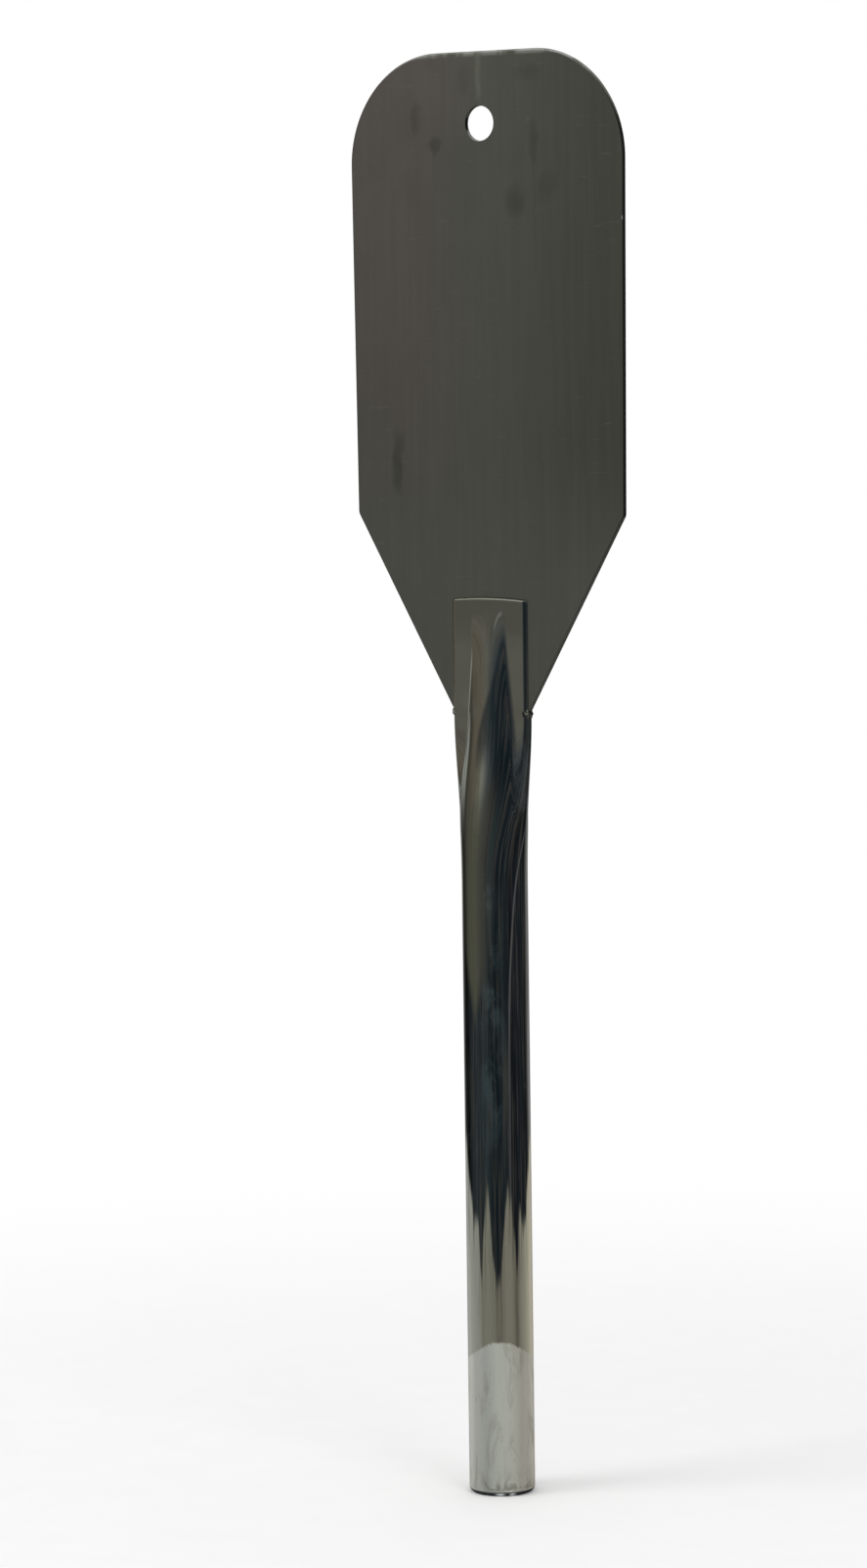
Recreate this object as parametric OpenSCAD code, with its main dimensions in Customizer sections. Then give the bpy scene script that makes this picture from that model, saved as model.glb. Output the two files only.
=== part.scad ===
// Stirring paddle, in millimetres: a flat sheet-steel blade held in the slit, flattened end of a
// round tube handle. The origin is the centre of the hang hole, in the middle of the sheet.
// +Z runs up along the paddle to the blade's top edge, the handle hangs down from it, +X runs
// across the blade to the right, and the front face looks towards -Y.

/* [Overall] */
// Length of the whole paddle, from the butt of the handle to the top edge of the blade
paddle_len = 610; // [560:5:660]

/* [Blade] */
// Thickness of the sheet
blade_t = 2; // [1.6:0.1:3]
// Width of the blade at its shoulders, where it starts to taper
shoulder_w = 141; // [130:1:150]
// Width of the blade in line with its top edge
top_w = 144.5; // [130:0.5:155]
// Width of the blade's lower edge, which stands on the end of the slit
foot_w = 38.2; // [36:0.1:39]
// Length of the blade, from its top edge to its lower edge
blade_len = 278; // [260:1:300]
// Distance from the top edge down to the shoulders
shoulder_drop = 193.4; // [170:0.2:210]
// Radius of the two large top corners
corner_r = 46; // [30:1:60]
// Radius that takes the sharpness off the shoulders
shoulder_r = 4; // [2:0.5:8]

/* [Hang hole] */
// Diameter of the hole
hole_d = 14.5; // [10:0.5:20]
// Distance from the top edge down to the centre of the hole
hole_drop = 30; // [24:1:45]
// Distance of the hole to the left of the blade's centre line
hole_left = 2.5; // [0:0.5:6]

/* [Handle] */
// Outer diameter of the tube
tube_d = 28; // [26:0.5:30]
// Wall of the tube
tube_wall = 1.2; // [1:0.1:1.6]
// Width of the flattened end
lip_w = 40; // [39:0.5:42]
// Height of the lips, from the end of the slit to their top edge
lip_h = 48.8; // [40:0.2:60]
// How far the middle of the lips' top edge stands above its ends
lip_arch = 0.9; // [0:0.1:1.5]
// Height over which the tube turns from flat to round, below the slit
neck_h = 70; // [50:1:90]

/* [Ridge left in the flattened end] */
// Distance from the lips' top edge down to where the ridge starts to rise
ridge_start = 4.8; // [2:0.2:10]
// Height of the ridge above the lips at the end of the slit
ridge_rise = 3; // [1:0.2:4]
// Width of the ridge at its upper end
ridge_w = 18; // [12:1:22]
// Distance from the lips' top edge down to where the ridge starts to widen
ridge_even = 24; // [10:1:30]
// Width that the ridge gains in each millimetre below there
ridge_spread = 0.17; // [0.1:0.01:0.2]

/* [End cap] */
// Height of the cap below the tube
cap_h = 2.5; // [2:0.1:4]
// Length of the cap's plug inside the tube
plug_h = 8; // [5:1:15]
// Wall of the plug
plug_wall = 1.5; // [1:0.1:2]
// Clearance between the plug and the tube
plug_gap = 0.05; // [0.02:0.01:0.1]

/* [Tack welds] */
// Radius of the bead at each end of the slit
bead_r = 2.6; // [2.4:0.1:3]
// How far the bead stands out from the tube's side
bead_proud = 1; // [0.6:0.1:1.4]
// Height of the bead's centre above the end of the slit
bead_up = 1; // [0:0.1:2]

/* [Hidden] */
$fn = 96;

tube_r = tube_d / 2;
bore_r = tube_r - tube_wall;
top_z = hole_drop;
shoulder_z = top_z - shoulder_drop;
foot_z = top_z - blade_len;
lip_z = foot_z + lip_h;
round_z = foot_z - neck_h;
butt_z = top_z - paddle_len;

// Steps round a large corner and round a shoulder.
corner_steps = 32;
shoulder_steps = 8;
// The neck is drawn as rings of points. Each ring has an outer and an inner loop.
loop_steps = 48;
neck_steps = 32;
// The neck's round end laps over the tube by this much, and is this much larger all round.
neck_lap = 2;
lap_step = 0.15;
loop_out = 1 / cos(180 / loop_steps);
// The lips' inner faces are drawn this much too close, and the slit cuts them flush.
slit_trim = 0.02;
cut_margin = 5;

steel_satin = [0.29, 0.28, 0.27];
steel_polished = [0.36, 0.37, 0.36];
steel_bead = [0.24, 0.24, 0.24];

// A rise from 0 to 1 with level ends.
function eased(u) = let(v = min(max(u, 0), 1)) v * v * (3 - 2 * v);

function mixed(a, b, share) = a + (b - a) * share;

// The share of the round tube in the neck's outline: 0 along the slit and 1 from round_z down.
function roundness(z) = eased((foot_z - z) / neck_h);

// Half the width of the ridge at its foot, no wider than the neck itself.
function ridge_half(z, half_w) =
    min((ridge_w + ridge_spread * max(lip_z - ridge_even - z, 0)) / 2, half_w);

// Height of the ridge's crest above the lips.
function ridge_height(z) =
    min(ridge_rise * max(lip_z - ridge_start - z, 0) / (lip_h - ridge_start), bore_r);

// The pressed outline: level faces with a rounded fold at each side, and the ridge between.
function pressed_y(x, z, half_w, half_t) =
    let(past_flat = max(abs(x) - (half_w - half_t), 0),
        across = min(abs(x) / ridge_half(z, half_w), 1))
    sqrt(max(half_t * half_t - past_flat * past_flat, 0)) + ridge_height(z) * (1 - across * across);

// One point of a ring, at an angle round the tube. The outline passes from the pressed one, with
// half the width lip_half and half the thickness half_t, to a circle.
function neck_point(z, angle, lip_half, half_t, radius) =
    let(half_w = mixed(lip_half, radius, roundness(z)),
        x = half_w * cos(angle),
        pressed = pressed_y(x, z, half_w, half_t) * (angle < 180 ? 1 : -1),
        y = mixed(pressed, radius * sin(angle), roundness(z)),
        arch = z < lip_z ? 0 : lip_arch * (1 - pow(cos(angle), 2)))
    [x, y, z + arch];

function neck_loop(z, lip_half, half_t, radius) =
    [for (i = [0 : loop_steps - 1]) neck_point(z, 360 * i / loop_steps, lip_half, half_t, radius)];

function neck_ring(z) = concat(
    neck_loop(z, lip_w / 2, blade_t / 2 + tube_wall, (tube_r + lap_step) * loop_out),
    neck_loop(z, lip_w / 2 - tube_wall, blade_t / 2 - slit_trim, (bore_r + lap_step) * loop_out));

// Points along an arc.
function arc(centre, radius, first, last, steps) = [
    for (i = [0 : steps])
        let(angle = mixed(first, last, i / steps))
        centre + radius * [cos(angle), sin(angle)]
];

// A four-cornered face as two triangles.
function quad(a, b, c, d) = [[a, b, c], [a, c, d]];

// The blade's sheet, drawn as it lies on a table: X across and Y along the paddle.
module flat_blade() {
    side_lean = atan((top_w - shoulder_w) / 2 / shoulder_drop);
    taper_lean = atan((shoulder_w - foot_w) / 2 / (shoulder_z - foot_z));
    corner_z = top_z - corner_r;
    corner_edge = mixed(shoulder_w, top_w, (corner_z - shoulder_z) / shoulder_drop) / 2;
    corner_x = corner_edge - corner_r / cos(side_lean);
    // The shoulder's circle touches the side above it and the taper below it.
    half_bend = (taper_lean - side_lean) / 2;
    to_centre = shoulder_r / cos(half_bend);
    shoulder_x = shoulder_w / 2 - to_centre * cos(half_bend + side_lean);
    shoulder_y = shoulder_z + to_centre * sin(half_bend + side_lean);
    half = concat(
        arc([corner_x, corner_z], corner_r, 90, -side_lean, corner_steps),
        arc([shoulder_x, shoulder_y], shoulder_r, -side_lean, -taper_lean, shoulder_steps),
        [[foot_w / 2, foot_z]]);
    other_half = [for (i = [len(half) - 1 : -1 : 0]) [-half[i][0], half[i][1]]];
    linear_extrude(blade_t, center = true) polygon(concat(half, other_half));
}

module blade_sheet() {
    rotate([90, 0, 0])
        difference() {
            translate([hole_left, 0, 0]) flat_blade();
            cylinder(d = hole_d, h = 2 * blade_t, center = true);
        }
}

module blade() {
    color(steel_satin) blade_sheet();
}

// Flattened stretch of the tube, with its ridge, down to where it is round again.
module neck() {
    low_z = round_z - neck_lap;
    ring_size = 2 * loop_steps;
    levels = concat([low_z], [for (i = [1 : neck_steps]) mixed(round_z, lip_z, i / neck_steps)]);
    last = len(levels) - 1;
    points = [for (z = levels) for (point = neck_ring(z)) point];
    faces = [
        for (i = [0 : loop_steps - 1])
            let(j = (i + 1) % loop_steps)
            for (face = concat(
                [for (k = [0 : last - 1]) each quad(
                    k * ring_size + i, (k + 1) * ring_size + i,
                    (k + 1) * ring_size + j, k * ring_size + j)],
                [for (k = [0 : last - 1]) each quad(
                    k * ring_size + loop_steps + i, k * ring_size + loop_steps + j,
                    (k + 1) * ring_size + loop_steps + j, (k + 1) * ring_size + loop_steps + i)],
                quad(i, j, loop_steps + j, loop_steps + i),
                quad(last * ring_size + i, last * ring_size + loop_steps + i,
                    last * ring_size + loop_steps + j, last * ring_size + j)))
            face
    ];
    polyhedron(points, faces, convexity = 6);
}

module slit() {
    translate([-lip_w, -blade_t / 2, foot_z])
        cube([2 * lip_w, blade_t, lip_h + cut_margin]);
}

module round_tube() {
    tube_z = butt_z + cap_h;
    translate([0, 0, tube_z])
        difference() {
            cylinder(r = tube_r, h = round_z - tube_z);
            translate([0, 0, -cut_margin])
                cylinder(r = bore_r, h = round_z - tube_z + 2 * cut_margin);
        }
}

module handle_tube() {
    color(steel_polished)
        translate([hole_left, 0, 0])
            difference() {
                union() {
                    round_tube();
                    neck();
                }
                slit();
            }
}

module end_cap() {
    plug_r = bore_r - plug_gap;
    color(steel_polished)
        translate([hole_left, 0, butt_z])
            rotate_extrude() {
                square([tube_r - cap_h, cap_h]);
                intersection() {
                    translate([tube_r - cap_h, cap_h]) circle(r = cap_h);
                    square([tube_r, cap_h]);
                }
                translate([plug_r - plug_wall, cap_h / 2]) square([plug_wall, cap_h / 2 + plug_h]);
            }
}

// A bead over the corner where the blade's edge comes out of the end of the slit. It fills the
// open corner of the slit, and lies against the tube's fold and the blade.
module tack_weld() {
    fold_r = blade_t / 2 + tube_wall;
    color(steel_bead)
        difference() {
            translate([lip_w / 2 + bead_proud - bead_r, 0, foot_z + bead_up])
                sphere(r = bead_r);
            difference() {
                translate([lip_w / 2 - fold_r, 0, foot_z - 2 * bead_r]) {
                    cylinder(r = fold_r, h = 4 * bead_r);
                    translate([-2 * bead_r, -fold_r, 0]) cube([2 * bead_r, 2 * fold_r, 4 * bead_r]);
                }
                slit();
            }
            translate([-hole_left, 0, 0]) blade_sheet();
        }
}

module right_tack_weld() {
    translate([hole_left, 0, 0]) tack_weld();
}

module left_tack_weld() {
    translate([hole_left, 0, 0]) mirror([1, 0, 0]) tack_weld();
}

blade();
handle_tube();
end_cap();
left_tack_weld();
right_tack_weld();
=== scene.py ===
import math

import bmesh
import bpy
from mathutils import Matrix, Vector


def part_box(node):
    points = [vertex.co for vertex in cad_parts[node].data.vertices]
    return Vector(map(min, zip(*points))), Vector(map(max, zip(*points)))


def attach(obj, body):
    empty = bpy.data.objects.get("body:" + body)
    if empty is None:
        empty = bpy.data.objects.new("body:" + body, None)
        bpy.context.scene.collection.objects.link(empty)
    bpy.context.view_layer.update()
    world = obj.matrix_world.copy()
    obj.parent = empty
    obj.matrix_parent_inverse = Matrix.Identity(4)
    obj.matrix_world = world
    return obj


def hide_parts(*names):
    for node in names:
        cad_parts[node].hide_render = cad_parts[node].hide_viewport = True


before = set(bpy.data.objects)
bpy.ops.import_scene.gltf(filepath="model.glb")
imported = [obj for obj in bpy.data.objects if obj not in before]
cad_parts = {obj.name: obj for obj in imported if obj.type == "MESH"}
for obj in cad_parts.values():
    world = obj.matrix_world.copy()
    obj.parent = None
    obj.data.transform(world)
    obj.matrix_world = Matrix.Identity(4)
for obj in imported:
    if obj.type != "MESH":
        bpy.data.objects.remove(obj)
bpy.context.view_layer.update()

MM = 0.001
BODY = "root"

# Places that the solids give, in metres.
BLADE_LOW, BLADE_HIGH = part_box("blade")
CAP_LOW, CAP_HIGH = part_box("end_cap")
TOP_Z = BLADE_HIGH.z
FOOT_Z = BLADE_LOW.z
BUTT_Z = CAP_LOW.z
BLADE_T = BLADE_HIGH.y - BLADE_LOW.y
TUBE_R = CAP_HIGH.y
AXIS_X = (CAP_LOW.x + CAP_HIGH.x) / 2

# The blade's outline.
SHOULDER_W = 141 * MM
TOP_W = 144.5 * MM
FOOT_W = 38.2 * MM
SHOULDER_DROP = 193.4 * MM
CORNER_R = 46 * MM
SHOULDER_R = 4 * MM
HOLE_R = 7.25 * MM
SHOULDER_Z = TOP_Z - SHOULDER_DROP
EDGE_ROUND = 0.9 * MM
HOLE_ROUND = 0.35 * MM
EDGE_STEPS = 6
CORNER_STEPS = 64
SHOULDER_STEPS = 12
HOLE_STEPS = 96

# The tube, its flattened neck and its lips.
TUBE_WALL = 1.2 * MM
LIP_W = 40 * MM
LIP_H = 48.8 * MM
LIP_ARCH = 0.9 * MM
LIP_ROUND = 1 * MM
NECK_H = 70 * MM
LIP_Z = FOOT_Z + LIP_H
ROUND_Z = FOOT_Z - NECK_H
SLIT_TRIM = 0.02 * MM
RIDGE_START = 4.8 * MM
RIDGE_RISE = 3 * MM
RIDGE_W = 18 * MM
RIDGE_EVEN = 24 * MM
RIDGE_SPREAD = 0.17
LOOP_STEPS = 192
RING_GAP = 1 * MM
ROUND_RING_GAP = 6 * MM

# The end cap and the welds.
CAP_H = 2.5 * MM
PLUG_H = 8 * MM
PLUG_WALL = 1.5 * MM
PLUG_GAP = 0.05 * MM
BEAD_R = 2.6 * MM
BEAD_PROUD = 1 * MM
BEAD_UP = 1 * MM

# The camera that took the photograph: its angles, and its distance from the point it looks at,
# which is this far right of the tube's axis and above the butt. The focal length is in pixels.
CAMERA_AZIMUTH = math.radians(38.15)
CAMERA_ELEVATION = math.radians(4.81)
CAMERA_ROLL = math.radians(-0.775)
CAMERA_DISTANCE = 2234.3 * MM
TARGET_RIGHT = -25.4 * MM
TARGET_UP = 302.7 * MM
FOCAL_PX = 5410.5
PHOTO_H = 1604
SENSOR_H = 36

# The level direction from the paddle to that camera, and the one to its right. The reflections painted
# on the tube are laid out by how far a surface is turned away from the first.
FACING = Vector((math.sin(CAMERA_AZIMUTH), -math.cos(CAMERA_AZIMUTH), 0))
SIDEWAYS = Vector((math.cos(CAMERA_AZIMUTH), math.sin(CAMERA_AZIMUTH), 0))


def mixed(a, b, share):
    return a + (b - a) * share


def eased(value):
    """A rise from 0 to 1 with level ends."""
    value = min(max(value, 0), 1)
    return value * value * (3 - 2 * value)


def tone(red, green, blue):
    """A colour given as it shows on a screen, in steps of 255, as linear light."""
    linear = []
    for step in (red, green, blue):
        share = step / 255
        linear.append(share / 12.92 if share <= 0.04045 else ((share + 0.055) / 1.055) ** 2.4)
    return (*linear, 1)


def grey(step):
    return tone(step, step, step)


# Camera


def make_camera():
    back = Vector((
        math.sin(CAMERA_AZIMUTH) * math.cos(CAMERA_ELEVATION),
        -math.cos(CAMERA_AZIMUTH) * math.cos(CAMERA_ELEVATION),
        math.sin(CAMERA_ELEVATION)))
    level_up = back.cross(SIDEWAYS)
    right = SIDEWAYS * math.cos(CAMERA_ROLL) + level_up * math.sin(CAMERA_ROLL)
    up = level_up * math.cos(CAMERA_ROLL) - SIDEWAYS * math.sin(CAMERA_ROLL)
    target = Vector((AXIS_X, 0, BUTT_Z + TARGET_UP)) + right * TARGET_RIGHT
    data = bpy.data.cameras.new("photo_camera")
    data.sensor_fit = "VERTICAL"
    data.sensor_height = SENSOR_H
    data.lens = FOCAL_PX * SENSOR_H / PHOTO_H
    data.clip_end = 100
    camera = bpy.data.objects.new("photo_camera", data)
    turn = Matrix((right, up, back)).transposed().to_4x4()
    camera.matrix_world = Matrix.Translation(target + back * CAMERA_DISTANCE) @ turn
    bpy.context.scene.collection.objects.link(camera)
    bpy.context.scene.camera = camera


# Materials


class Finish:
    """A material and short ways to add its nodes. Each way returns the new node's output."""

    def __init__(self, name):
        self.material = bpy.data.materials.new(name)
        self.material.use_nodes = True
        self.tree = self.material.node_tree
        self.surface = self.tree.nodes["Principled BSDF"]
        coordinates = self.add("ShaderNodeTexCoord")
        self.place = coordinates.outputs["Object"]
        parts = self.add("ShaderNodeSeparateXYZ", {0: self.place})
        self.x, self.y, self.z = parts.outputs
        self.normal = coordinates.outputs["Normal"]
        self.up = self.add("ShaderNodeSeparateXYZ", {0: self.normal}).outputs[2]

    def add(self, kind, inputs=None, **settings):
        node = self.tree.nodes.new(kind)
        for name, value in settings.items():
            setattr(node, name, value)
        for key, value in (inputs or {}).items():
            self.fill(node.inputs[key], value)
        return node

    def fill(self, socket, value):
        if isinstance(value, bpy.types.NodeSocket):
            self.tree.links.new(value, socket)
        else:
            socket.default_value = value

    def math(self, operation, *values):
        return self.add("ShaderNodeMath", dict(enumerate(values)), operation=operation).outputs[0]

    def dot(self, vector, direction):
        node = self.add("ShaderNodeVectorMath", {0: vector, 1: direction}, operation="DOT_PRODUCT")
        return node.outputs["Value"]

    def level(self, value, low, high, to_low=0.0, to_high=1.0):
        """Passes smoothly from to_low to to_high as value goes from low to high."""
        inputs = {"Value": value, "From Min": low, "From Max": high, "To Min": to_low,
                  "To Max": to_high}
        return self.add("ShaderNodeMapRange", inputs, interpolation_type="SMOOTHSTEP").outputs[0]

    def bump_at(self, value, middle, half_width):
        """1 where value is at middle, and 0 from half_width away."""
        away = self.math("ABSOLUTE", self.math("SUBTRACT", value, middle))
        return self.level(away, half_width, 0.0)

    def noise(self, scale, stretch=(1, 1, 1), detail=3.0, roughness=0.5, distortion=0.0,
              place=None):
        mapping = self.add("ShaderNodeMapping", {"Vector": place or self.place, "Scale": stretch})
        inputs = {"Vector": mapping.outputs[0], "Scale": scale, "Detail": detail,
                  "Roughness": roughness, "Distortion": distortion}
        return self.add("ShaderNodeTexNoise", inputs).outputs[0]

    def mix(self, share, first, second):
        node = self.add("ShaderNodeMix", data_type="RGBA")
        self.fill(node.inputs[0], share)
        self.fill(node.inputs[6], first)
        self.fill(node.inputs[7], second)
        return node.outputs[2]

    def ramp(self, value, stops):
        """Colours along a value from 0 to 1, given as (position, colour) in rising order."""
        node = self.add("ShaderNodeValToRGB", {0: value})
        elements = node.color_ramp.elements
        elements[0].position, elements[0].color = stops[0]
        elements[1].position, elements[1].color = stops[-1]
        for position, colour in stops[1:-1]:
            elements.new(position).color = colour
        return node.outputs[0]

    def spot(self, centre, size, wobble, sharpness=0.5):
        """A soft blot: 1 at its centre and 0 from its size away, along X and Z. Wobble is a shift
        that makes its edge uneven."""
        x = self.math("ADD", self.x, wobble)
        z = self.math("ADD", self.z, wobble)
        across = self.math("DIVIDE", self.math("SUBTRACT", x, centre[0]), size[0])
        along = self.math("DIVIDE", self.math("SUBTRACT", z, centre[1]), size[1])
        square = self.math("ADD", self.math("MULTIPLY", across, across),
                           self.math("MULTIPLY", along, along))
        return self.level(square, 1.0, sharpness)

    def bump(self, height, depth, strength=1.0):
        inputs = {"Height": height, "Distance": depth, "Strength": strength}
        return self.add("ShaderNodeBump", inputs).outputs[0]

    def finish(self, colour, roughness, relief, edge_tint):
        self.surface.inputs["Metallic"].default_value = 1
        self.surface.inputs["Specular Tint"].default_value = edge_tint
        self.fill(self.surface.inputs["Base Color"], colour)
        self.fill(self.surface.inputs["Roughness"], roughness)
        self.fill(self.surface.inputs["Normal"], relief)
        return self.material


# Smears on the blade: centre, half size along X and Z, and strength.
SMEARS = [
    ((28 * MM, -9 * MM), (3.6 * MM, 13 * MM), 0.4),
    ((18 * MM, -33 * MM), (7 * MM, 9 * MM), 0.4),
    ((35 * MM, -27 * MM), (5 * MM, 9 * MM), 0.25),
    ((-46 * MM, -142 * MM), (4.5 * MM, 17 * MM), 0.55),
    ((-24 * MM, -8.5 * MM), (4 * MM, 5 * MM), 0.5),
    ((-34 * MM, 3 * MM), (4 * MM, 8 * MM), 0.35),
    ((26 * MM, 21 * MM), (9 * MM, 5 * MM), 0.3),
    ((-8 * MM, 19 * MM), (5 * MM, 8 * MM), 0.2),
]

RUB_X = -0.5 * MM
RUB_HALF_W = 2.6 * MM
NICK_Z = -41 * MM


def satin_sheet():
    """The blade: satin rolled sheet, warmer on its left, with painted light and shade on its edges,
    smears and rub marks.
    """
    f = Finish("satin_sheet")
    wander = f.noise(14.0, detail=4.0)
    wavy_x = f.math("MULTIPLY_ADD", f.math("SUBTRACT", wander, 0.5), 40 * MM, f.x)
    leftness = f.level(wavy_x, 10 * MM, -38 * MM)
    leftness = f.math("MULTIPLY", leftness, f.level(f.z, -215 * MM, -60 * MM, 0.2, 1.0))
    right = f.ramp(f.level(f.x, -10 * MM, 74 * MM), [(0, tone(64, 65, 59)), (1, tone(54, 55, 49))])
    colour = f.mix(leftness, right, tone(69, 65, 61))
    colour = f.mix(f.level(f.z, -130 * MM, -205 * MM), colour, tone(67, 68, 62))
    cloud = f.noise(26.0, detail=5.0, roughness=0.6, distortion=0.4)
    colour = f.mix(f.level(cloud, 0.35, 0.65, 0.0, 0.2), colour, tone(56, 57, 52))
    rolled = f.noise(420.0, stretch=(1, 1, 0.04), detail=3.0)
    colour = f.mix(f.level(rolled, 0.3, 0.7, 0.0, 0.06), colour, tone(92, 91, 86))
    scratches = f.noise(60.0, stretch=(1, 1, 9), detail=2.0, distortion=1.2)
    colour = f.mix(f.level(scratches, 0.66, 0.74, 0.0, 0.1), colour, tone(96, 95, 90))
    colour = sheet_edges(f, sheet_marks(f, cloud, colour))
    roughness = f.level(f.math("ADD", cloud, f.math("MULTIPLY", rolled, 0.3)), 0.4, 0.9, 0.36, 0.48)
    relief = f.bump(f.math("ADD", rolled, f.math("MULTIPLY", cloud, 0.6)), 0.02 * MM, 0.5)
    return f.finish(colour, roughness, relief, grey(150))


def sheet_marks(f, cloud, colour):
    """Dull smears with uneven edges, and the rub mark that the hook leaves above the hole."""
    wobble = f.math("MULTIPLY", f.math("SUBTRACT", f.noise(110.0, detail=4.0), 0.5), 9 * MM)
    for centre, size, share in SMEARS:
        blot = f.math("MULTIPLY", f.spot(centre, size, wobble, 0.0), f.level(cloud, 0.3, 0.6, 0.5, 1.0))
        colour = f.mix(f.math("MULTIPLY", blot, share), colour, tone(44, 45, 41))
    rub = f.math("MULTIPLY", f.bump_at(f.math("ADD", f.x, f.math("MULTIPLY", wobble, 0.3)),
                                       RUB_X, RUB_HALF_W), f.level(f.z, 8 * MM, 13 * MM))
    return f.mix(f.math("MULTIPLY", rub, 0.17), colour, tone(104, 106, 98))


def sheet_edges(f, colour):
    """A painted highlight in patches under the top edge, a nick in the right edge, a painted highlight
    on edges that face up and painted shade on edges that face the side.
    """
    patches = f.noise(75.0, stretch=(1, 1, 0.3), detail=3.0, roughness=0.6)
    # A painted highlight, in patches, on the band just under the top edge.
    top_band_highlight = f.math("MULTIPLY", f.level(f.z, TOP_Z - 2.6 * MM, TOP_Z - 1.2 * MM),
                  f.level(patches, 0.4, 0.55))
    colour = f.mix(f.math("MULTIPLY", top_band_highlight, 0.55), colour, tone(112, 114, 108))
    nick = f.spot((BLADE_HIGH.x, NICK_Z), (1.3 * MM, 1.6 * MM), 0.0)
    colour = f.mix(f.math("MULTIPLY", nick, 0.8), colour, tone(160, 160, 156))
    # Edges that face up get a painted highlight, and those that face the side get painted shade.
    painted_top_light = f.level(f.up, 0.12, 0.75)
    bright = f.mix(f.level(patches, 0.4, 0.62), tone(112, 114, 104), tone(158, 157, 158))
    colour = f.mix(painted_top_light, colour, bright)
    side = f.math("ABSOLUTE", f.dot(f.normal, (1, 0, 0)))
    side_edge_shade = f.math("MULTIPLY", f.level(side, 0.12, 0.5), f.level(f.up, 0.5, 0.2))
    side_edge_shade = f.math("MULTIPLY", side_edge_shade, f.level(f.up, -0.42, -0.25))
    return f.mix(side_edge_shade, colour, tone(24, 25, 23))


# Tones of the reflections painted on the polished tube.
SILVER = tone(165, 168, 160)
OLIVE = tone(72, 73, 61)
BROWN = tone(86, 81, 70)
BLUE_BLACK = tone(14, 22, 27)
SLATE = tone(34, 41, 45)
DARK_REFLECTION = tone(14, 16, 17)
STONE = tone(110, 109, 96)


def by_angle(*stops):
    """Ramp stops from stops at angles between -90 and 90 degrees."""
    return [((angle + 90) / 180, colour) for angle, colour in stops]


# The painted reflections, by the angle that the surface is turned to the right of FACING.
NECK_REFLECTION = by_angle(
    (-90, DARK_REFLECTION), (-80, grey(50)), (-72, SILVER), (-67, SILVER), (-63, tone(54, 54, 46)), (-56, BROWN),
    (-46, BROWN), (-38, tone(82, 82, 74)), (-33, tone(62, 66, 64)), (-27, tone(38, 46, 50)),
    (-20, BLUE_BLACK), (2, BLUE_BLACK), (10, SLATE), (18, DARK_REFLECTION), (30, tone(54, 59, 60)), (42, DARK_REFLECTION),
    (56, tone(28, 30, 30)), (72, DARK_REFLECTION), (90, grey(12)))
UPPER_REFLECTION = by_angle(
    (-90, SILVER), (-80, SILVER), (-73, tone(38, 39, 34)), (-62, tone(56, 57, 50)), (-54, OLIVE),
    (-38, OLIVE), (-28, tone(60, 60, 54)), (-17, tone(44, 46, 44)), (-12, tone(42, 50, 50)),
    (-3, tone(22, 28, 32)), (8, BLUE_BLACK), (20, tone(24, 29, 33)), (30, DARK_REFLECTION), (48, tone(18, 21, 22)),
    (64, DARK_REFLECTION), (71, tone(60, 60, 58)), (80, SILVER), (90, SILVER))
MIDDLE_REFLECTION = by_angle(
    (-90, SILVER), (-80, grey(110)), (-72, grey(54)), (-62, tone(18, 20, 21)), (-50, tone(31, 36, 39)),
    (-40, tone(36, 42, 45)), (-30, tone(28, 34, 37)), (-21, tone(38, 46, 49)), (-12, tone(22, 29, 32)),
    (0, tone(16, 23, 27)), (10, tone(26, 33, 36)), (24, tone(15, 18, 22)), (40, tone(21, 25, 30)),
    (52, tone(26, 30, 32)), (58, tone(28, 31, 32)), (62, grey(60)), (67, grey(118)),
    (73, tone(146, 149, 144)), (90, SILVER))
LOWER_REFLECTION = by_angle(
    (-90, tone(205, 205, 200)), (-72, tone(192, 193, 186)), (-60, tone(150, 152, 142)),
    (-50, tone(136, 138, 128)), (-40, tone(126, 128, 118)), (-32, STONE), (-20, tone(112, 112, 100)),
    (0, tone(99, 97, 85)), (12, tone(111, 109, 97)), (22, tone(110, 108, 95)), (30, tone(86, 84, 73)),
    (37, tone(114, 112, 100)), (50, tone(140, 138, 121)), (60, tone(166, 163, 146)),
    (68, tone(206, 200, 180)), (90, tone(215, 208, 188)))
# The dull end's own pale tone, with a painted sheen that is brighter towards its sides.
MATTE_END_AND_SHEEN = by_angle(
    (-90, tone(204, 205, 199)), (-68, tone(196, 197, 190)), (-52, tone(162, 163, 156)),
    (-30, tone(146, 148, 143)), (-8, tone(163, 166, 158)), (20, tone(158, 159, 149)),
    (38, tone(153, 151, 141)), (54, tone(166, 164, 154)), (68, tone(192, 189, 178)),
    (90, tone(196, 193, 183)))
# How far down the dark painted reflection reaches, in millimetres below the hang hole, by the same
# angle.
DARK_ENDS = [
    (-90, 425), (-72, 432), (-66, 441), (-58, 453), (-50, 463), (-46, 466), (-41, 462), (-38, 468),
    (-33, 488), (-29, 474), (-23, 446), (-18, 456), (-10, 482), (-4, 492), (4, 482), (11, 458),
    (16, 450), (22, 456), (27, 470), (32, 490), (36, 460), (41, 460), (46, 468), (52, 464),
    (60, 446), (68, 432), (90, 420)]
DARK_TOP = 400
DARK_SPAN = 100
# Other heights of the painted reflections, in the same millimetres.
TONGUE_TOP = 214.0
NECK_ENDS = 266.0
UPPER_FROM = 304.0
LINE_TOP = 297.0
MIDDLE_FROM = 372.0
CLOUDS_AT = 385.0
DULL_FROM = 513.5
# The dull end's border is a wave with this half height.
DULL_WAVE = 4.2


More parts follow.
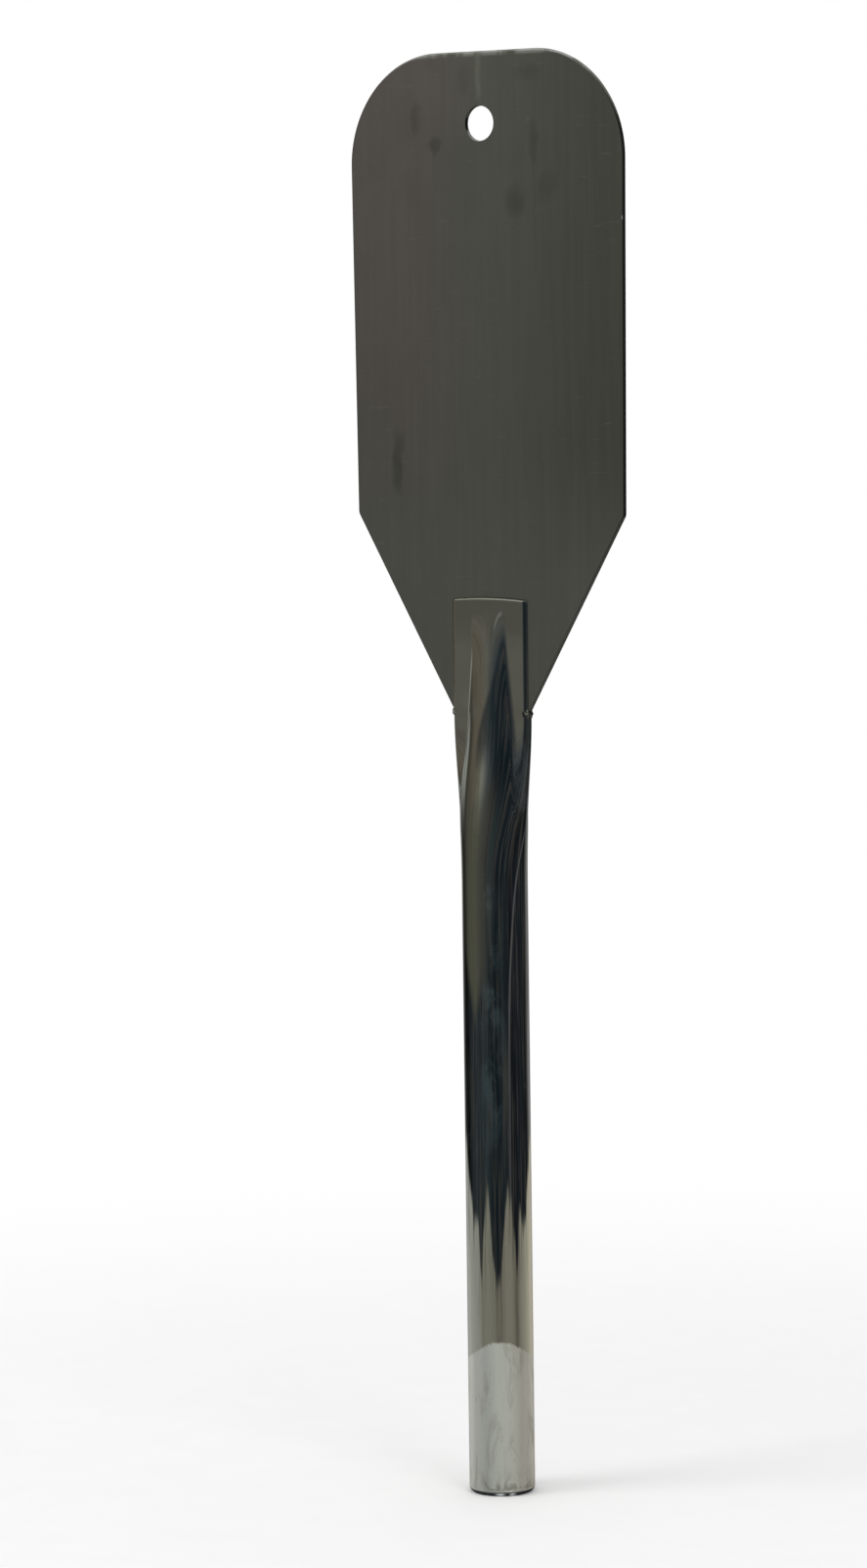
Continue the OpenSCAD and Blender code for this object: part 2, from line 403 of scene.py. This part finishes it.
def reflection_angle(f):
    """How far a surface is turned to the right of FACING, as 0 at -90 degrees and 1 at 90. The
    back repeats the front, turned half round."""
    facing = f.dot(f.normal, FACING)
    aside = f.math("MULTIPLY", f.dot(f.normal, SIDEWAYS), f.math("SIGN", facing))
    angle = f.math("ARCTAN2", aside, f.math("ABSOLUTE", facing))
    return f.math("MULTIPLY_ADD", angle, 1 / math.pi, 0.5)


def lip_painted_light(f, down, colour):
    """Painted light on each lip: a dark painted reflection at the ridge's head, with its painted glint,
    and a painted highlight along the ridge's left foot."""
    # Millimetres to the right of the tube's axis, for someone who looks at that lip.
    front = f.math("MULTIPLY", f.math("SIGN", f.y), -1 / MM)
    x = f.math("MULTIPLY", f.math("SUBTRACT", f.x, AXIS_X), front)
    # The dark painted reflection widens downwards into the dark side of the neck.
    tongue_widening = f.level(down, TONGUE_TOP, TONGUE_TOP + 48.0)
    left = f.math("MULTIPLY_ADD", tongue_widening, -10.5, 6.6)
    right = f.math("MULTIPLY_ADD", f.math("SUBTRACT", down, TONGUE_TOP), 0.12, 8.6)
    dark_tongue_reflection = f.math("MULTIPLY", f.level(f.math("SUBTRACT", x, left), -1.1, 1.3),
                  f.level(f.math("SUBTRACT", x, right), 1.2, -1.0))
    dark_tongue_reflection = f.math("MULTIPLY", dark_tongue_reflection, f.level(down, 211.0, 222.0))
    dark_tongue_reflection = f.math("MULTIPLY", dark_tongue_reflection, f.level(down, 278.0, 256.0))
    colour = f.mix(f.math("MULTIPLY", dark_tongue_reflection, 0.72), colour, tone(20, 29, 34))
    # A painted glint in a crescent round the head of the dark painted reflection.
    across = f.math("DIVIDE", f.math("SUBTRACT", x, 7.3), 4.4)
    along = f.math("DIVIDE", f.math("SUBTRACT", down, 216.0), 11.0)
    around = f.math("SQRT", f.math("ADD", f.math("MULTIPLY", across, across),
                                   f.math("MULTIPLY", along, along)))
    glint = f.math("MULTIPLY", f.bump_at(around, 1.0, 0.14), f.level(x, 7.8, 6.4))
    glint = f.math("MULTIPLY", glint, f.level(down, 213.5, 209.0))
    colour = f.mix(f.math("MULTIPLY", glint, 0.7), colour, tone(140, 142, 134))
    # A painted highlight along the ridge's left foot.
    foot = f.math("MULTIPLY_ADD", f.math("MAXIMUM", f.math("SUBTRACT", down, 223.2), 0.0), 0.085, 9.0)
    crease_highlight = f.bump_at(f.math("ADD", x, foot), 0.0, 0.5)
    crease_highlight = f.math("MULTIPLY", crease_highlight, f.level(down, 217.0, 228.0))
    crease_highlight = f.math("MULTIPLY", crease_highlight, f.level(down, 262.0, 246.0))
    return f.mix(f.math("MULTIPLY", crease_highlight, 0.75), colour, tone(150, 153, 145))


def reflections_and_dull_end(f, turn, down, streaks):
    """The reflections painted on the tube, from the neck's to the dull end's, and how dull it is."""
    neck = f.ramp(turn, NECK_REFLECTION)
    upper = f.ramp(turn, UPPER_REFLECTION)
    middle = f.ramp(turn, MIDDLE_REFLECTION)
    lower = f.ramp(turn, LOWER_REFLECTION)
    matte = f.ramp(turn, MATTE_END_AND_SHEEN)
    neck = lip_painted_light(f, down, neck)
    # The olive stripe of painted reflection narrows to a point where the middle's painted reflection
    # starts.
    stripe = f.math("ABSOLUTE", f.math("SUBTRACT", turn, (-40 + 90) / 180))
    colour = f.mix(f.level(down, NECK_ENDS, UPPER_FROM), neck, upper)
    middle_from = f.math("SUBTRACT", MIDDLE_FROM, f.math("MULTIPLY", stripe, 180.0))
    past = f.math("SUBTRACT", down, middle_from)
    colour = f.mix(f.level(past, -8.0, 12.0), colour, middle)
    # Bluish clouds, around one angle from FACING and one height.
    clouds = f.noise(85.0, stretch=(1, 1, 0.45), detail=6.0, roughness=0.7, distortion=0.5)
    cloud_mask = f.math("MULTIPLY", f.bump_at(turn, 0.44, 0.2), f.bump_at(down, CLOUDS_AT, 75.0))
    cloud_mask = f.math("MULTIPLY", cloud_mask, f.level(clouds, 0.46, 0.62))
    colour = f.mix(f.math("MULTIPLY", cloud_mask, 0.45), colour, tone(66, 82, 86))
    # A thin pale line of painted reflection curves in from the right edge and runs down.
    line_at = f.math("EXPONENT", f.math("DIVIDE", f.math("SUBTRACT", LINE_TOP, down), 28.0))
    line_at = f.math("MULTIPLY_ADD", line_at, 39 / 180, (20 + 90) / 180)
    line = f.math("MULTIPLY", f.bump_at(turn, line_at, 0.016), f.level(down, 290.0, 300.0))
    line = f.math("MULTIPLY", line, f.level(down, 440.0, 350.0, 0.5, 0.9))
    colour = f.mix(line, colour, tone(84, 84, 86))
    # The dark painted reflection gives way to the lower painted reflection along ragged points.
    ends = [((angle + 90) / 180, ((depth - DARK_TOP) / DARK_SPAN,) * 3 + (1,))
            for angle, depth in DARK_ENDS]
    end = f.math("MULTIPLY_ADD", f.ramp(turn, ends), DARK_SPAN, DARK_TOP)
    ragged = f.math("MULTIPLY", f.math("SUBTRACT", streaks, 0.5), 34.0)
    below = f.math("SUBTRACT", down, f.math("ADD", end, ragged))
    colour = f.mix(f.level(below, -6.0, 5.0), colour, lower)
    # Dark streaks of painted reflection run on below the points.
    tails = f.math("MULTIPLY", f.level(streaks, 0.47, 0.62), f.level(below, 44.0, 4.0))
    colour = f.mix(f.math("MULTIPLY", tails, 0.5), colour, tone(52, 50, 44))
    # The dull end starts along a wave that is highest at the front and at the back.
    off_front = f.math("MULTIPLY", f.math("SUBTRACT", turn, 0.49), 2 * math.pi)
    dull_from = f.math("MULTIPLY_ADD", f.math("COSINE", off_front), -DULL_WAVE,
                       DULL_FROM + DULL_WAVE)
    dull_from = f.math("MULTIPLY_ADD", f.math("SUBTRACT", streaks, 0.5), 3.0, dull_from)
    dull = f.level(f.math("SUBTRACT", down, dull_from), -0.6, 0.8)
    return f.mix(dull, colour, matte), dull


def polished_tube():
    f = Finish("polished_tube")
    drift = f.math("MULTIPLY", f.math("SUBTRACT", f.noise(9.0, detail=2.0), 0.5), 0.03)
    turn = f.math("ADD", reflection_angle(f), drift)
    down = f.math("MULTIPLY", f.z, -1 / MM)
    along = f.add("ShaderNodeCombineXYZ", {0: turn, 2: f.math("MULTIPLY", down, 0.0004)}).outputs[0]
    streaks = f.noise(46.0, detail=4.0, roughness=0.6, place=along)
    colour, dull = reflections_and_dull_end(f, turn, down, streaks)
    # Light and dark streaks of painted reflection along the tube.
    colour = f.mix(f.level(streaks, 0.42, 0.7, 0.0, 0.07), colour, tone(120, 122, 118))
    colour = f.mix(f.level(streaks, 0.45, 0.25, 0.0, 0.22), colour, f.mix(0.6, colour, DARK_REFLECTION))
    grain = f.noise(150.0, detail=5.0, roughness=0.65)
    smears = f.noise(34.0, stretch=(1, 1, 0.5), detail=6.0, roughness=0.7)
    colour = f.mix(f.level(smears, 0.6, 0.72, 0.0, 0.08), colour, tone(130, 138, 140))
    # The dull end is scuffed along the handle, most of all near the cap.
    scuffs = f.noise(130.0, stretch=(1, 1, 0.22), detail=5.0, roughness=0.75, distortion=0.8)
    scuffed = f.math("MULTIPLY", f.level(scuffs, 0.5, 0.68), dull)
    colour = f.mix(f.math("MULTIPLY", scuffed, 0.4), colour, tone(112, 108, 98))
    marks = f.noise(75.0, detail=5.0, roughness=0.8, distortion=1.5)
    marked = f.math("MULTIPLY", f.level(marks, 0.66, 0.7), dull)
    colour = f.mix(f.math("MULTIPLY", marked, 0.55), colour, tone(64, 60, 52))
    chipped = f.math("MULTIPLY", f.level(down, 566.0, 578.0), f.level(marks, 0.45, 0.6))
    colour = f.mix(f.math("MULTIPLY", chipped, 0.55), colour, tone(84, 78, 68))
    # A painted highlight on surfaces that face up, such as the lips' top edges.
    painted_top_light = f.level(f.up, 0.15, 0.8)
    colour = f.mix(painted_top_light, colour, tone(108, 109, 100))
    polish = f.level(grain, 0.3, 0.7, 0.2, 0.28)
    roughness = f.math("MULTIPLY_ADD", dull, 0.22, polish)
    height = f.math("ADD", f.math("MULTIPLY", streaks, 0.4), f.math("MULTIPLY", grain, 0.25))
    relief = f.bump(height, 0.02 * MM, 0.4)
    return f.finish(colour, roughness, relief, grey(170))


def polished_cap():
    f = Finish("polished_cap")
    turn = reflection_angle(f)
    wear = f.noise(120.0, detail=4.0, roughness=0.6)
    # The dull end's tone with its painted sheen, painted shade where the rounded edge turns down, and
    # painted glints on that edge.
    side = f.ramp(turn, MATTE_END_AND_SHEEN)
    colour = f.mix(f.level(f.up, -0.1, -0.45), side, tone(58, 62, 62))
    glint = f.math("MULTIPLY", f.level(f.up, -0.35, -0.6),
                   f.math("MAXIMUM", f.bump_at(turn, 0.475, 0.07), f.bump_at(turn, 0.6, 0.05)))
    colour = f.mix(f.math("MULTIPLY", glint, 0.9), colour, tone(235, 238, 240))
    colour = f.mix(f.level(f.up, -0.9, -0.98), colour, tone(120, 120, 114))
    colour = f.mix(f.level(wear, 0.55, 0.7, 0.0, 0.35), colour, tone(70, 70, 66))
    roughness = f.level(wear, 0.3, 0.7, 0.26, 0.4)
    return f.finish(colour, roughness, f.bump(wear, 0.03 * MM, 0.4), grey(170))


def weld_bead():
    f = Finish("weld_bead")
    lumps = f.noise(700.0, detail=3.0, roughness=0.6)
    colour = f.ramp(f.level(lumps, 0.35, 0.65), [(0, tone(20, 21, 19)), (0.6, tone(46, 47, 43)),
                                                (1, tone(110, 112, 104))])
    # A painted highlight on the bead's top.
    painted_top_light = f.level(f.up, 0.3, 0.9)
    colour = f.mix(f.math("MULTIPLY", painted_top_light, 0.3), colour, tone(120, 122, 114))
    return f.finish(colour, f.level(lumps, 0.3, 0.7, 0.35, 0.55), f.bump(lumps, 0.2 * MM, 0.6),
                    grey(150))


# Shapes

SHARP_ANGLE = 40
# Height below the lips' top edge over which its arch fades out.
ARCH_FADE = 10 * MM
CAP_STEPS = 12
CAP_SEAM = 0.25 * MM


def link_piece(name, mesh, material):
    mesh.materials.append(material)
    piece = bpy.data.objects.new(name, mesh)
    bpy.context.scene.collection.objects.link(piece)
    return piece


def add_piece(name, vertices, faces, material, sharp_angle=SHARP_ANGLE):
    mesh = bpy.data.meshes.new(name)
    mesh.from_pydata([tuple(v) for v in vertices], [], faces)
    mesh.update()
    mesh.shade_smooth()
    mesh.set_sharp_from_angle(angle=math.radians(sharp_angle))
    return link_piece(name, mesh, material)


def add_smooth_piece(name, bm, material):
    mesh = bpy.data.meshes.new(name)
    bm.to_mesh(mesh)
    bm.free()
    mesh.shade_smooth()
    return link_piece(name, mesh, material)


def place_piece(piece, node):
    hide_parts(node)
    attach(piece, BODY)


def arc(centre, radius, first, last, steps):
    """Points (x, z) along an arc, with its angles in radians."""
    points = []
    for i in range(steps + 1):
        angle = mixed(first, last, i / steps)
        points.append(Vector((centre[0] + radius * math.cos(angle),
                              centre[1] + radius * math.sin(angle))))
    return points


def blade_outline():
    """The blade's outline as (x, z) points, clockwise from the left end of the top edge."""
    side_lean = math.atan((TOP_W - SHOULDER_W) / 2 / SHOULDER_DROP)
    taper_lean = math.atan((SHOULDER_W - FOOT_W) / 2 / (SHOULDER_Z - FOOT_Z))
    corner_z = TOP_Z - CORNER_R
    corner_edge = mixed(SHOULDER_W, TOP_W, (corner_z - SHOULDER_Z) / SHOULDER_DROP) / 2
    corner_x = corner_edge - CORNER_R / math.cos(side_lean)
    half_bend = (taper_lean - side_lean) / 2
    to_centre = SHOULDER_R / math.cos(half_bend)
    shoulder_x = SHOULDER_W / 2 - to_centre * math.cos(half_bend + side_lean)
    shoulder_z = SHOULDER_Z + to_centre * math.sin(half_bend + side_lean)
    half = arc((corner_x, corner_z), CORNER_R, math.pi / 2, -side_lean, CORNER_STEPS)
    half += arc((shoulder_x, shoulder_z), SHOULDER_R, -side_lean, -taper_lean, SHOULDER_STEPS)
    half.append(Vector((FOOT_W / 2, FOOT_Z)))
    other = [Vector((-point.x, point.y)) for point in reversed(half)]
    return [Vector((AXIS_X + point.x, point.y)) for point in half + other]


def outward_mitres(points):
    """For each point of a clockwise outline, the step that moves its edges out by 1."""
    mitres = []
    for i, point in enumerate(points):
        before = (point - points[i - 1]).normalized()
        after = (points[(i + 1) % len(points)] - point).normalized()
        normals = [Vector((-edge.y, edge.x)) for edge in (before, after)]
        both = (normals[0] + normals[1]).normalized()
        mitres.append(both / both.dot(normals[0]))
    return mitres


def rim_rings(bm, points, mitres, rounding):
    """The rounded rim along an outline, from the front face to the back face. Returns the front
    and the back ring of vertices."""
    half_t = BLADE_T / 2
    profile = []
    for i in range(EDGE_STEPS + 1):
        angle = math.pi / 2 * i / EDGE_STEPS
        profile.append((rounding * (1 - math.sin(angle)), half_t - rounding * (1 - math.cos(angle))))
    profile = [(inset, -y) for inset, y in profile] + [(inset, y) for inset, y in reversed(profile)]
    rings = []
    for inset, y in profile:
        moved = [point - mitre * inset for point, mitre in zip(points, mitres)]
        rings.append([bm.verts.new((point.x, y, point.y)) for point in moved])
    for ring, following in zip(rings, rings[1:]):
        for i in range(len(ring)):
            j = (i + 1) % len(ring)
            bm.faces.new((ring[i], ring[j], following[j], following[i]))
    return rings[0], rings[-1]


def ring_edges(bm, ring):
    return [bm.edges.get((ring[i - 1], ring[i])) for i in range(len(ring))]


def make_blade(material):
    bm = bmesh.new()
    outline = blade_outline()
    hole = arc((0, 0), HOLE_R, 0, -2 * math.pi, HOLE_STEPS)[:-1]
    into_hole = [-mitre for mitre in outward_mitres(hole)]
    front, back = rim_rings(bm, outline, outward_mitres(outline), EDGE_ROUND)
    hole_front, hole_back = rim_rings(bm, hole, into_hole, HOLE_ROUND)
    for edges in (ring_edges(bm, front) + ring_edges(bm, hole_front),
                  ring_edges(bm, back) + ring_edges(bm, hole_back)):
        bmesh.ops.triangle_fill(bm, use_beauty=True, edges=edges)
    bmesh.ops.recalc_face_normals(bm, faces=bm.faces)
    piece = add_smooth_piece("blade_sheet", bm, material)
    weighted = piece.modifiers.new("flat_faces", "WEIGHTED_NORMAL")
    weighted.weight = 100
    weighted.keep_sharp = True
    place_piece(piece, "blade")


def roundness(z):
    """The share of the round tube in the neck's outline."""
    return eased((FOOT_Z - z) / NECK_H)


def ridge_height(z):
    rise = RIDGE_RISE * max(LIP_Z - RIDGE_START - z, 0) / (LIP_H - RIDGE_START)
    return min(rise, TUBE_R - TUBE_WALL)


def neck_point(z, angle, lip_half, half_t, radius):
    """One point of a ring round the tube: pressed flat at the lips, round at the neck's end."""
    half_w = mixed(lip_half, radius, roundness(z))
    ridge_half = min((RIDGE_W + RIDGE_SPREAD * max(LIP_Z - RIDGE_EVEN - z, 0)) / 2, half_w)
    x = half_w * math.cos(angle)
    past_flat = max(abs(x) - (half_w - half_t), 0)
    across = min(abs(x) / ridge_half, 1)
    pressed = math.sqrt(max(half_t * half_t - past_flat * past_flat, 0))
    pressed += ridge_height(z) * (1 - across * across)
    if angle > math.pi:
        pressed = -pressed
    y = mixed(pressed, radius * math.sin(angle), roundness(z))
    near_top = min(max(z - LIP_Z + ARCH_FADE, 0) / ARCH_FADE, 1)
    return Vector((AXIS_X + x, y, z + LIP_ARCH * near_top * (1 - math.cos(angle) ** 2)))


def tube_levels():
    """Heights of the tube's rings and how far each is rounded in, from the cap to the lips."""
    levels = []
    tube_z = BUTT_Z + CAP_H
    round_rings = round((ROUND_Z - tube_z) / ROUND_RING_GAP)
    for i in range(round_rings):
        levels.append((mixed(tube_z, ROUND_Z, i / round_rings), 0))
    flat_top = LIP_Z - LIP_ROUND
    neck_rings = round((flat_top - ROUND_Z) / RING_GAP)
    for i in range(neck_rings):
        levels.append((mixed(ROUND_Z, flat_top, i / neck_rings), 0))
    for i in range(EDGE_STEPS + 1):
        angle = math.pi / 2 * i / EDGE_STEPS
        levels.append((flat_top + LIP_ROUND * math.sin(angle), LIP_ROUND * (1 - math.cos(angle))))
    return levels


def make_tube(material):
    levels = tube_levels()
    vertices = []
    for z, inset in levels:
        for i in range(LOOP_STEPS):
            angle = 2 * math.pi * i / LOOP_STEPS
            half_t = BLADE_T / 2 + TUBE_WALL - inset
            vertices.append(neck_point(z, angle, LIP_W / 2 - inset, half_t, TUBE_R))
    inner_start = len(vertices)
    for z, inset in levels:
        for i in range(LOOP_STEPS):
            angle = 2 * math.pi * i / LOOP_STEPS
            vertices.append(neck_point(z, angle, LIP_W / 2 - TUBE_WALL, BLADE_T / 2 - SLIT_TRIM,
                                       TUBE_R - TUBE_WALL))
    faces = []
    last = (len(levels) - 1) * LOOP_STEPS
    for i in range(LOOP_STEPS):
        j = (i + 1) % LOOP_STEPS
        for k in range(len(levels) - 1):
            low, high = k * LOOP_STEPS, (k + 1) * LOOP_STEPS
            faces.append((low + i, low + j, high + j, high + i))
            low, high = low + inner_start, high + inner_start
            faces.append((low + i, high + i, high + j, low + j))
        faces.append((i, inner_start + i, inner_start + j, j))
        faces.append((last + i, last + j, inner_start + last + j, inner_start + last + i))
    piece = add_piece("tube", vertices, faces, material)
    cut_slit(piece)
    place_piece(piece, "handle_tube")


def cut_slit(piece):
    """Cuts the slit that the blade stands in."""
    low = Vector((AXIS_X - LIP_W, -BLADE_T / 2, FOOT_Z))
    high = Vector((AXIS_X + LIP_W, BLADE_T / 2, LIP_Z + LIP_H))
    corners = [(x, y, z) for x in (low.x, high.x) for y in (low.y, high.y) for z in (low.z, high.z)]
    mesh = bpy.data.meshes.new("slit")
    mesh.from_pydata(corners, [], [(0, 1, 3, 2), (4, 6, 7, 5), (0, 4, 5, 1), (2, 3, 7, 6),
                                   (0, 2, 6, 4), (1, 5, 7, 3)])
    cutter = bpy.data.objects.new("slit", mesh)
    bpy.context.scene.collection.objects.link(cutter)
    modifier = piece.modifiers.new("slit", "BOOLEAN")
    modifier.object = cutter
    modifier.operation = "DIFFERENCE"
    modifier.solver = "EXACT"
    graph = bpy.context.evaluated_depsgraph_get()
    mesh = bpy.data.meshes.new_from_object(piece.evaluated_get(graph))
    piece.modifiers.clear()
    piece.data = mesh
    # The cut leaves spare corners in the middle of edges, and they would make slivers.
    bm = bmesh.new()
    bm.from_mesh(mesh)
    spare = [vertex for vertex in bm.verts if len(vertex.link_edges) == 2]
    bmesh.ops.dissolve_verts(bm, verts=spare)
    bm.to_mesh(mesh)
    bm.free()
    mesh.shade_smooth()
    mesh.set_sharp_from_angle(angle=math.radians(SHARP_ANGLE))
    bpy.data.objects.remove(cutter)


def make_cap(material):
    """The cap: a disc with a rounded edge and a plug that stands inside the tube."""
    plug_r = TUBE_R - TUBE_WALL - PLUG_GAP
    flat_r = TUBE_R - CAP_H
    profile = [(0, 0), (flat_r * 0.5, 0)]
    for i in range(CAP_STEPS + 1):
        angle = math.pi / 2 * i / CAP_STEPS
        profile.append((flat_r + CAP_H * math.sin(angle), CAP_H * (1 - math.cos(angle))))
    profile[-1] = (TUBE_R - CAP_SEAM * 0.4, CAP_H)
    profile.insert(-1, (TUBE_R, CAP_H - CAP_SEAM))
    profile += [(plug_r, CAP_H), (plug_r, CAP_H + PLUG_H), (plug_r - PLUG_WALL, CAP_H + PLUG_H),
                (plug_r - PLUG_WALL, CAP_H), (0, CAP_H)]
    vertices = []
    for radius, height in profile:
        for i in range(LOOP_STEPS if radius else 1):
            angle = 2 * math.pi * i / LOOP_STEPS
            vertices.append((AXIS_X + radius * math.cos(angle), radius * math.sin(angle),
                             BUTT_Z + height))
    faces = []
    last = len(vertices) - 1
    for i in range(LOOP_STEPS):
        j = (i + 1) % LOOP_STEPS
        faces.append((0, 1 + j, 1 + i))
        for k in range(len(profile) - 3):
            low = 1 + k * LOOP_STEPS
            high = low + LOOP_STEPS
            faces.append((low + i, low + j, high + j, high + i))
        ring = 1 + (len(profile) - 3) * LOOP_STEPS
        faces.append((ring + i, ring + j, last))
    piece = add_piece("cap", vertices, faces, material, sharp_angle=50)
    place_piece(piece, "end_cap")


def make_weld(name, side, material):
    """A small lumpy bead over the corner where the blade comes out of the slit."""
    bm = bmesh.new()
    bmesh.ops.create_icosphere(bm, subdivisions=5, radius=1)
    centre = Vector((AXIS_X + side * (LIP_W / 2 + BEAD_PROUD - BEAD_R), 0, FOOT_Z + BEAD_UP))
    for vertex in bm.verts:
        direction = vertex.co.normalized()
        ripple = 0.04 * math.sin(9 * direction.z + 2 * direction.x)
        lump = 0.03 * math.sin(5 * direction.x + 3) * math.cos(7 * direction.y)
        vertex.co = centre + direction * BEAD_R * (0.93 + ripple + lump)
    place_piece(add_smooth_piece(name + "_bead", bm, material), name)


# Stage

FLOOR_HALF = 6
FLOOR_FADE = (0.2, 0.9)
WORLD_LEVEL = 0.8
LAMPS = [
    ("key", (-1.6, -2.4, 1.7), 2.0, 34),
    ("fill", (2.6, -1.2, 0.9), 1.6, 16),
]


def shows_background(add, links):
    """1 for rays that see the background, from the camera or through a reflection."""
    path = add("ShaderNodeLightPath")
    total = path.outputs["Is Camera Ray"]
    for name in ("Is Glossy Ray", "Is Transmission Ray"):
        joined = add("ShaderNodeMath")
        joined.operation = "MAXIMUM"
        links.new(total, joined.inputs[0])
        links.new(path.outputs[name], joined.inputs[1])
        total = joined.outputs[0]
    return total


def make_world():
    world = bpy.data.worlds.new("studio")
    bpy.context.scene.world = world
    world.use_nodes = True
    tree = world.node_tree
    seen = shows_background(tree.nodes.new, tree.links)
    level = tree.nodes.new("ShaderNodeMapRange")
    level.inputs["To Min"].default_value = WORLD_LEVEL
    level.inputs["To Max"].default_value = 1
    tree.links.new(seen, level.inputs["Value"])
    tree.links.new(level.outputs[0], tree.nodes["Background"].inputs["Strength"])
    tree.nodes["Background"].inputs["Color"].default_value = (1, 1, 1, 1)


def make_floor():
    mesh = bpy.data.meshes.new("floor")
    h = FLOOR_HALF
    mesh.from_pydata([(-h, -h, BUTT_Z), (h, -h, BUTT_Z), (h, h, BUTT_Z), (-h, h, BUTT_Z)], [],
                     [(0, 1, 2, 3)])
    floor = bpy.data.objects.new("floor", mesh)
    bpy.context.scene.collection.objects.link(floor)
    f = Finish("pale_floor")
    speckle = f.noise(40.0, detail=3.0)
    f.fill(f.surface.inputs["Base Color"], f.mix(speckle, grey(246), grey(250)))
    f.surface.inputs["Roughness"].default_value = 0.8
    f.surface.inputs["Specular IOR Level"].default_value = 0.2
    # Away from the paddle the floor fades into the white background.
    level_place = f.add("ShaderNodeVectorMath", {0: f.place, 1: (1, 1, 0)}, operation="MULTIPLY")
    distance = f.add("ShaderNodeVectorMath", {0: level_place.outputs[0]}, operation="LENGTH")
    fade = f.level(distance.outputs["Value"], *FLOOR_FADE)
    seen = shows_background(f.tree.nodes.new, f.tree.links)
    white = f.add("ShaderNodeEmission").outputs[0]
    blend = f.add("ShaderNodeMixShader", {0: f.math("MULTIPLY", fade, seen),
                                          1: f.surface.outputs[0], 2: white})
    f.tree.links.new(blend.outputs[0], f.tree.nodes["Material Output"].inputs["Surface"])
    mesh.materials.append(f.material)


def make_lamps():
    middle = Vector((AXIS_X, 0, (TOP_Z + BUTT_Z) / 2))
    for name, place, size, power in LAMPS:
        data = bpy.data.lights.new(name, "AREA")
        data.shape = "DISK"
        data.size = size
        data.energy = power
        lamp = bpy.data.objects.new(name, data)
        lamp.location = middle + Vector(place)
        lamp.rotation_euler = (middle - lamp.location).to_track_quat("-Z", "Y").to_euler()
        bpy.context.scene.collection.objects.link(lamp)


bpy.context.scene.view_settings.view_transform = "Standard"
make_camera()
make_world()
make_floor()
make_lamps()
make_blade(satin_sheet())
make_tube(polished_tube())
make_cap(polished_cap())
bead_finish = weld_bead()
make_weld("left_tack_weld", -1, bead_finish)
make_weld("right_tack_weld", 1, bead_finish)
